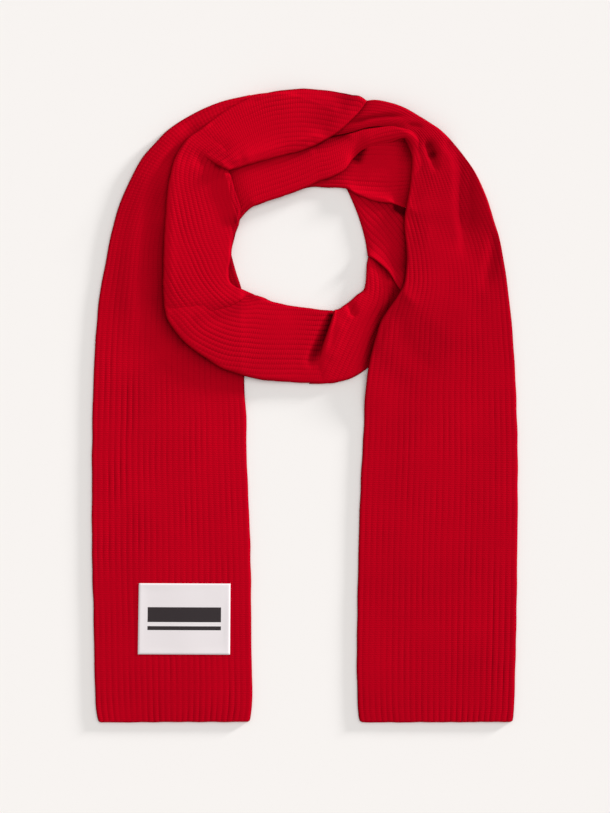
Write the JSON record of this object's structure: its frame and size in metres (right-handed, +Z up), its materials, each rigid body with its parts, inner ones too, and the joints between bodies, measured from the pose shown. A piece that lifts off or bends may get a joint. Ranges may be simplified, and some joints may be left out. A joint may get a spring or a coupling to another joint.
{
  "type": "rib-knit scarf",
  "caption": "Long rib-knit scarf laid flat the way it is worn: one loop round an open neck hole, two straight tails side by side and a plain label patch near one hem.",
  "frame": {"origin": "centre of the laid-out scarf's bounding box, at the surface it lies on", "axes": "+X to the right seen from above with the neck end away, +Y from the hems towards the back of the neck, +Z up off the surface"},
  "size_m": [0.4499, 0.6682, 0.0267],
  "materials": {
    "rib_knit": "matt red rib knit, soft yarn",
    "label_satin": "off-white satin weave, slight sheen"
  },
  "bodies": {
    "root": {"tail_left": "rib_knit", "neck_under": "rib_knit", "loop_right_top": "rib_knit", "loop_right_low": "rib_knit", "loop_front": "rib_knit", "loop_left": "rib_knit", "neck_fold": "rib_knit", "neck_over": "rib_knit", "tail_right": "rib_knit", "label_patch": "label_satin"}
  },
  "joints": []
}
